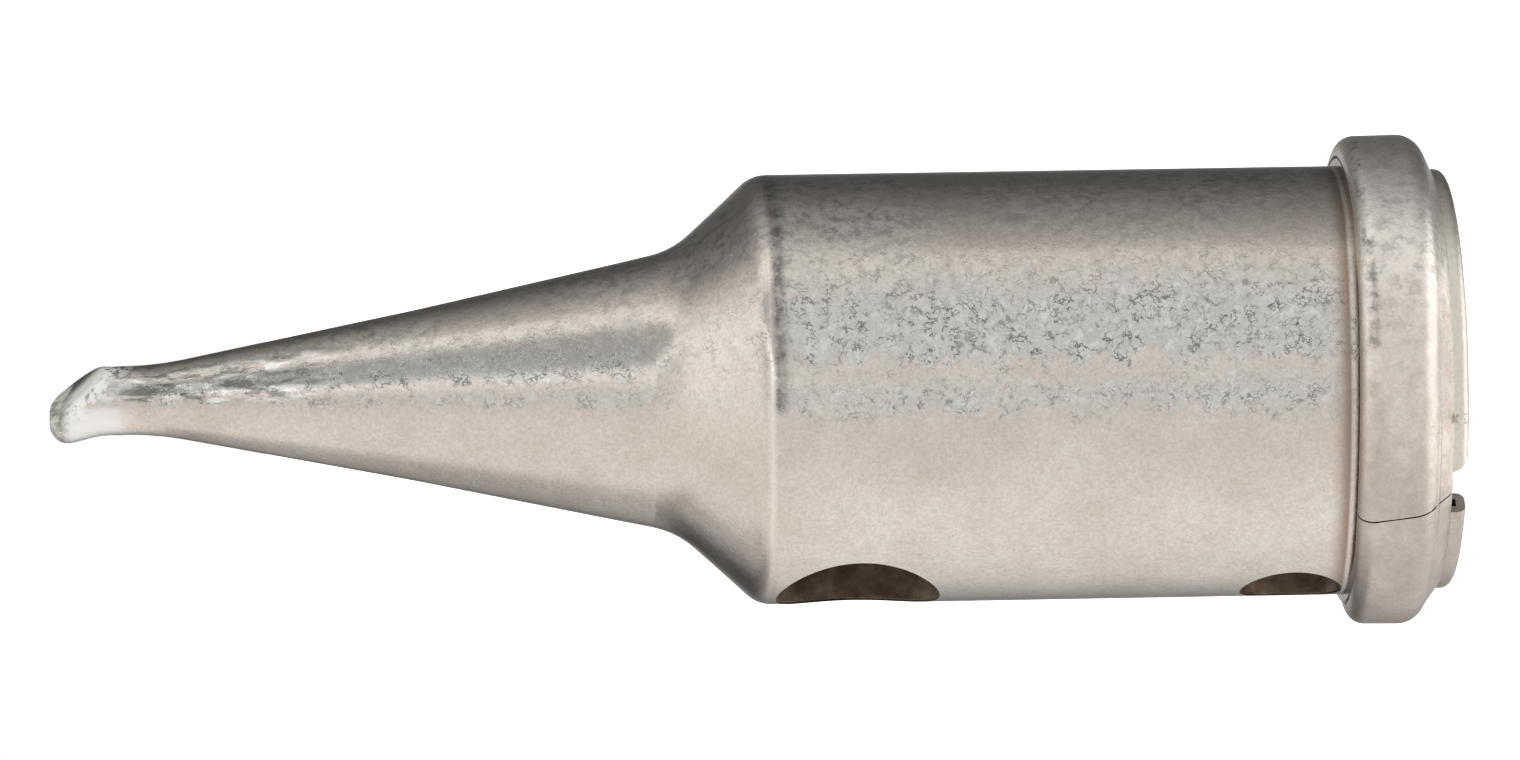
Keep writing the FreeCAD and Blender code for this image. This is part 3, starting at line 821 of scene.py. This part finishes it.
for half_turn in range(2 * TURNS):
    centre_x = -pitch / 4 if half_turn % 2 == 0 else pitch / 4
    bpy.ops.mesh.spin(steps=36, angle=math.pi, center=(centre_x, 0, 0), axis=(0, 0, 1))
bpy.ops.mesh.select_all(action="SELECT")
bpy.ops.mesh.remove_doubles(threshold=1e-6)
bpy.ops.mesh.normals_make_consistent(inside=False)
bpy.ops.transform.vertex_random(offset=CLOTH_UNEVEN, seed=3)
bpy.ops.object.mode_set(mode="OBJECT")
cloth = roll.modifiers.new("cloth", "SOLIDIFY")
cloth.thickness = CLOTH_T
cloth.offset = 1
bpy.ops.object.modifier_apply(modifier=cloth.name)
bpy.ops.object.shade_smooth_by_angle(angle=math.radians(50))

# Ceramic fibre cloth, darkened by the burnt gas: matt, grey brown, with loose threads. Its sizes are
# in millimetres, its relief in metres. THREAD is coarser than real fibres, so that they show.
THREAD = 0.12
SOOT_PATCH = 1.2
THREAD_RELIEF = 0.00006

fibre = bpy.data.materials.new("ceramic_fibre_cloth")
fibre.use_nodes = True
tree = fibre.node_tree
shader = tree.nodes["Principled BSDF"]
shader.inputs["Roughness"].default_value = 0.95
position = add_node(tree, "ShaderNodeTexCoord").outputs["Object"]
in_mm = add_node(tree, "ShaderNodeMapping", inputs={
    "Vector": position, "Scale": (1000, 1000, 1000),
}).outputs["Vector"]
threads = add_node(tree, "ShaderNodeTexNoise", inputs={
    "Vector": in_mm, "Scale": 1 / THREAD, "Detail": 4.0, "Roughness": 0.7, "Distortion": 1.5,
})
soot = add_node(tree, "ShaderNodeTexNoise", inputs={
    "Vector": in_mm, "Scale": 1 / SOOT_PATCH, "Detail": 3.0,
})
pale = add_node(tree, "ShaderNodeValToRGB", inputs={"Fac": threads.outputs["Fac"]}, stops=[
    (0.35, linear("#544d46")), (0.68, linear("#a79f95")), (0.5, linear("#7d756c")),
]).outputs["Color"]
sooty = add_node(tree, "ShaderNodeMix", {"data_type": "RGBA", "blend_type": "MULTIPLY"}, {
    0: soot.outputs["Fac"], 6: pale, 7: linear("#8a8178"),
}).outputs[2]
tree.links.new(sooty, shader.inputs["Base Color"])
bump = add_node(tree, "ShaderNodeBump", inputs={
    "Height": threads.outputs["Fac"], "Distance": THREAD_RELIEF, "Strength": 1.0,
})
tree.links.new(bump.outputs["Normal"], shader.inputs["Normal"])
roll.data.materials.append(fibre)
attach(roll, "root")
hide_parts("catalyst")


# Retaining ring: a split ring stamped from spring steel, sprung into a groove behind the catalyst.
# The heat has tinted it straw to brown, with some blue left and fine marks from the stamping. Its
# sizes are in millimetres, its relief in metres.
TINT_PATCH = 1.8
STAMP_MARK = 0.08
STAMP_RELIEF = 0.000004

spring = bpy.data.materials.new("heat_tinted_spring_steel")
spring.use_nodes = True
tree = spring.node_tree
shader = tree.nodes["Principled BSDF"]
shader.inputs["Metallic"].default_value = 1.0
position = add_node(tree, "ShaderNodeTexCoord").outputs["Object"]
in_mm = add_node(tree, "ShaderNodeMapping", inputs={
    "Vector": position, "Scale": (1000, 1000, 1000),
}).outputs["Vector"]
tint = add_node(tree, "ShaderNodeTexNoise", inputs={
    "Vector": in_mm, "Scale": 1 / TINT_PATCH, "Detail": 3.0,
})
marks = add_node(tree, "ShaderNodeTexNoise", inputs={
    "Vector": in_mm, "Scale": 1 / STAMP_MARK, "Detail": 3.0,
})
tinted = add_node(tree, "ShaderNodeValToRGB", inputs={"Fac": tint.outputs["Fac"]}, stops=[
    (0.32, linear("#5d6168")), (0.66, linear("#8f7a5e")), (0.48, linear("#7a6a5c")),
]).outputs["Color"]
tree.links.new(tinted, shader.inputs["Base Color"])
dull = add_node(tree, "ShaderNodeMapRange", inputs={
    "Value": marks.outputs["Fac"], "From Min": 0.3, "From Max": 0.7, "To Min": 0.30, "To Max": 0.50,
}).outputs["Result"]
tree.links.new(dull, shader.inputs["Roughness"])
bump = add_node(tree, "ShaderNodeBump", inputs={
    "Height": marks.outputs["Fac"], "Distance": STAMP_RELIEF, "Strength": 1.0,
})
tree.links.new(bump.outputs["Normal"], shader.inputs["Normal"])
for material_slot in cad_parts["retaining_ring"].material_slots:
    material_slot.material = spring


# Floor: a wide white card under the rear rim. It has an even light of its own, and neither lights
# the tip nor shows in it.
bpy.ops.object.select_all(action="DESELECT")
bpy.ops.mesh.primitive_circle_add(vertices=128, radius=3.0, fill_type="NGON", location=(0, 0, 0))
floor = bpy.context.object
floor.name = "floor"
card = bpy.data.materials.new("white_card")
card.use_nodes = True
shader = card.node_tree.nodes["Principled BSDF"]
shader.inputs["Base Color"].default_value = (0.9, 0.9, 0.9, 1)
shader.inputs["Roughness"].default_value = 1.0
shader.inputs["Emission Color"].default_value = (1, 1, 1, 1)
shader.inputs["Emission Strength"].default_value = 1.0
floor.data.materials.append(card)
floor.visible_glossy = False
floor.visible_diffuse = False


# Studio: soft boxes around the object, drawn as one sky. A large one stands in front and below with
# a slanted upper edge, a narrow strip light above it, dark cards above and below, and white behind.
# In degrees, side is the turn away from FRONT, minus towards the top of the picture, and rise is the
# lift towards the bit.
FRONT = math.radians(258)
SMOOTH_STEP = {"interpolation_type": "SMOOTHSTEP"}
world = bpy.data.worlds.new("studio")
bpy.context.scene.world = world
world.use_nodes = True
tree = world.node_tree
direction = add_node(tree, "ShaderNodeTexCoord").outputs["Generated"]
parts = add_node(tree, "ShaderNodeSeparateXYZ", inputs={"Vector": direction})
bearing = add_node(tree, "ShaderNodeMath", {"operation": "ARCTAN2"}, {
    0: parts.outputs["Y"], 1: parts.outputs["X"],
})
off_front = add_node(tree, "ShaderNodeMath", {"operation": "SUBTRACT"}, {
    0: FRONT, 1: bearing.outputs["Value"],
})
wrapped = add_node(tree, "ShaderNodeMath", {"operation": "WRAP"}, {
    0: off_front.outputs["Value"], 1: math.pi, 2: -math.pi,
})
side = add_node(tree, "ShaderNodeMath", {"operation": "DEGREES"}, {
    0: wrapped.outputs["Value"],
}).outputs["Value"]
lift = add_node(tree, "ShaderNodeMath", {"operation": "ARCSINE"}, {0: parts.outputs["Z"]})
rise = add_node(tree, "ShaderNodeMath", {"operation": "DEGREES"}, {
    0: lift.outputs["Value"],
}).outputs["Value"]
leaned = add_node(tree, "ShaderNodeMapRange", inputs={
    "Value": rise, "From Min": 0.0, "From Max": 24.0, "To Min": 0.0, "To Max": 6.0,
}).outputs["Result"]
upper_side = add_node(tree, "ShaderNodeMath", {"operation": "ADD"}, {
    0: side, 1: leaned,
}).outputs["Value"]
scaled = add_node(tree, "ShaderNodeMapRange", inputs={
    "Value": upper_side, "From Min": -180.0, "From Max": 180.0,
})
upper_lights = [
    (-180, 0.10), (180, 1.0), (-140, 0.11), (-125, 0.19), (-108, 0.32), (-95, 0.46), (-79, 0.68),
    (-77, 1.0), (-60, 1.0), (-58, 0.97), (40, 0.97), (90, 1.04),
]
upper_box = add_node(tree, "ShaderNodeValToRGB", inputs={"Fac": scaled.outputs["Result"]}, stops=[
    ((degrees + 180) / 360, grey(value)) for degrees, value in upper_lights
])
rising = add_node(tree, "ShaderNodeMapRange", inputs={
    "Value": rise, "From Min": -10.0, "From Max": 22.0, "To Min": -8.0, "To Max": 17.0,
}).outputs["Result"]
sinking = add_node(tree, "ShaderNodeMapRange", inputs={
    "Value": rise, "From Min": 22.0, "From Max": 34.0, "To Min": 0.0, "To Max": 33.0,
}).outputs["Result"]
risen = add_node(tree, "ShaderNodeMath", {"operation": "SUBTRACT"}, {
    0: rising, 1: sinking,
}).outputs["Value"]
opened = add_node(tree, "ShaderNodeMapRange", inputs={
    "Value": rise, "From Min": -14.0, "From Max": -40.0, "To Min": 0.0, "To Max": -55.0,
}).outputs["Result"]
shift = add_node(tree, "ShaderNodeMath", {"operation": "ADD"}, {0: risen, 1: opened}).outputs["Value"]
slanted = add_node(tree, "ShaderNodeMath", {"operation": "ADD"}, {0: shift, 1: side})
falling = add_node(tree, "ShaderNodeMapRange", inputs={
    "Value": slanted.outputs["Value"], "From Min": -180.0, "From Max": 180.0,
})
lower_lights = [
    (-180, 1.0), (180, 0.10), (104, 1.0), (119, 0.94), (137, 0.58), (155, 0.30), (166, 0.14),
]
lower_box = add_node(tree, "ShaderNodeValToRGB", inputs={"Fac": falling.outputs["Result"]}, stops=[
    ((degrees + 180) / 360, grey(value)) for degrees, value in lower_lights
])
sky = add_node(tree, "ShaderNodeMath", {"operation": "MULTIPLY"}, {
    0: upper_box.outputs["Color"], 1: lower_box.outputs["Color"],
}).outputs["Value"]

# The grey card stands over the front box, so only what leans towards the bit sees it.
card_low = add_node(tree, "ShaderNodeMapRange", SMOOTH_STEP, {
    "Value": rise, "From Min": 4.0, "From Max": 14.0,
})
card_high = add_node(tree, "ShaderNodeMapRange", SMOOTH_STEP, {
    "Value": rise, "From Min": 36.0, "From Max": 50.0, "To Min": 1.0, "To Max": 0.0,
})
card_side = add_node(tree, "ShaderNodeMapRange", inputs={
    "Value": side, "From Min": -63.0, "From Max": -59.0, "To Min": 1.22, "To Max": 0.60,
})
card_rise = add_node(tree, "ShaderNodeMath", {"operation": "MULTIPLY"}, {
    0: card_low.outputs["Result"], 1: card_high.outputs["Result"],
}).outputs["Value"]
kept = add_node(tree, "ShaderNodeMix", inputs={
    0: card_rise, 2: 1.0, 3: card_side.outputs["Result"],
}).outputs[0]
dimmed = add_node(tree, "ShaderNodeMath", {"operation": "MULTIPLY"}, {0: sky, 1: kept}).outputs["Value"]

# The upper edge of the front box slants, and it is brightest along that edge.
edge = add_node(tree, "ShaderNodeMath", {"operation": "MULTIPLY_ADD"}, {
    0: rise, 1: 1.23, 2: side,
}).outputs["Value"]
front = add_node(tree, "ShaderNodeMapRange", inputs={"Value": edge, "From Min": 3.0, "From Max": 7.0})
glow_place = add_node(tree, "ShaderNodeMapRange", inputs={
    "Value": edge, "From Min": 0.0, "From Max": 100.0,
})
glow = add_node(tree, "ShaderNodeValToRGB", inputs={"Fac": glow_place.outputs["Result"]}, stops=[
    (0.0, grey(0.78)), (1.0, grey(0.53)), (0.12, grey(0.74)), (0.17, grey(0.55)), (0.27, grey(0.45)),
    (0.40, grey(0.46)), (0.58, grey(0.52)),
])
doubled = add_node(tree, "ShaderNodeMath", {"operation": "MULTIPLY"}, {
    0: glow.outputs["Color"], 1: 2.0,
}).outputs["Value"]
brighter = add_node(tree, "ShaderNodeMapRange", inputs={
    "Value": side, "From Min": 5.0, "From Max": 75.0, "To Min": 0.90, "To Max": 1.12,
}).outputs["Result"]
box_light = add_node(tree, "ShaderNodeMix", inputs={
    0: card_low.outputs["Result"], 2: brighter, 3: doubled,
}).outputs[0]
front_light = add_node(tree, "ShaderNodeMath", {"operation": "MULTIPLY"}, {
    0: box_light, 1: lower_box.outputs["Color"],
}).outputs["Value"]
front_side = add_node(tree, "ShaderNodeMapRange", inputs={
    "Value": side, "From Min": 90.0, "From Max": 110.0, "To Min": 1.0, "To Max": 0.0,
})
front_box = add_node(tree, "ShaderNodeMath", {"operation": "MULTIPLY"}, {
    0: front.outputs["Result"], 1: front_side.outputs["Result"],
})
lit = add_node(tree, "ShaderNodeMix", inputs={
    0: front_box.outputs["Value"], 2: dimmed, 3: front_light,
}).outputs[0]

# A lamp over the bit, another beyond the rear rim, and the white wall behind.
over = add_node(tree, "ShaderNodeMapRange", SMOOTH_STEP, {
    "Value": rise, "From Min": 42.0, "From Max": 72.0,
})
high_side = add_node(tree, "ShaderNodeVectorMath", {"operation": "DOT_PRODUCT"}, {
    0: direction, 1: (math.cos(FRONT + math.pi / 2), math.sin(FRONT + math.pi / 2), 0),
}).outputs["Value"]
lamp = add_node(tree, "ShaderNodeMath", {"operation": "MULTIPLY_ADD"}, {
    0: high_side, 1: 0.33, 2: 1.18,
}).outputs["Value"]
lamplit = add_node(tree, "ShaderNodeMix", inputs={
    0: over.outputs["Result"], 2: lit, 3: lamp,
}).outputs[0]
under = add_node(tree, "ShaderNodeMapRange", SMOOTH_STEP, {
    "Value": rise, "From Min": -44.0, "From Max": -60.0,
})
footlit = add_node(tree, "ShaderNodeMix", inputs={
    0: under.outputs["Result"], 2: lamplit, 3: 1.75,
}).outputs[0]
off_side = add_node(tree, "ShaderNodeMath", {"operation": "ABSOLUTE"}, {0: side}).outputs["Value"]
behind = add_node(tree, "ShaderNodeMapRange", SMOOTH_STEP, {
    "Value": off_side, "From Min": 163.0, "From Max": 177.0,
})
all_round = add_node(tree, "ShaderNodeMix", inputs={
    0: behind.outputs["Result"], 2: footlit, 3: 0.55,
}).outputs[0]
camera_ray = add_node(tree, "ShaderNodeLightPath").outputs["Is Camera Ray"]
shown = add_node(tree, "ShaderNodeMix", {"data_type": "RGBA"}, {
    0: camera_ray, 6: all_round, 7: (1, 1, 1, 1),
})
tree.links.new(shown.outputs[2], tree.nodes["Background"].inputs["Color"])


# Camera: the tip lies across the picture with its bit to the left, seen from the side through a long
# lens and from a little toward the bit.
PIXEL = 0.0275e-3
WIDTH = 1520
MIDDLE_COLUMN = 760
MIDDLE_ROW = 380
RIM_COLUMN = 1448
AXIS_ROW = 389.8
DISTANCE = 11000
SENSOR = 36
azimuth = math.radians(-12)
tilt = math.radians(3.2)
roll_angle = math.radians(0.96)
back = Vector((math.sin(azimuth) * math.cos(tilt), -math.cos(azimuth) * math.cos(tilt), math.sin(tilt)))
right = (Vector((0, 0, -1)) + back * back.z).normalized()
up = back.cross(right)
aim = Vector((0, 0, (RIM_COLUMN - MIDDLE_COLUMN) * PIXEL)) + up * (AXIS_ROW - MIDDLE_ROW) * PIXEL
turned_right = right * math.cos(roll_angle) - up * math.sin(roll_angle)
turned_up = right * math.sin(roll_angle) + up * math.cos(roll_angle)
camera_data = bpy.data.cameras.new("camera")
camera = bpy.data.objects.new("camera", camera_data)
bpy.context.scene.collection.objects.link(camera)
camera_data.sensor_width = SENSOR
camera_data.lens = SENSOR * DISTANCE / WIDTH
camera_data.clip_start = 0.01
placed = Matrix((turned_right, turned_up, back)).transposed().to_4x4()
camera.matrix_world = Matrix.Translation(aim + back * DISTANCE * PIXEL) @ placed
bpy.context.scene.camera = camera
bpy.context.scene.view_settings.view_transform = "Standard"
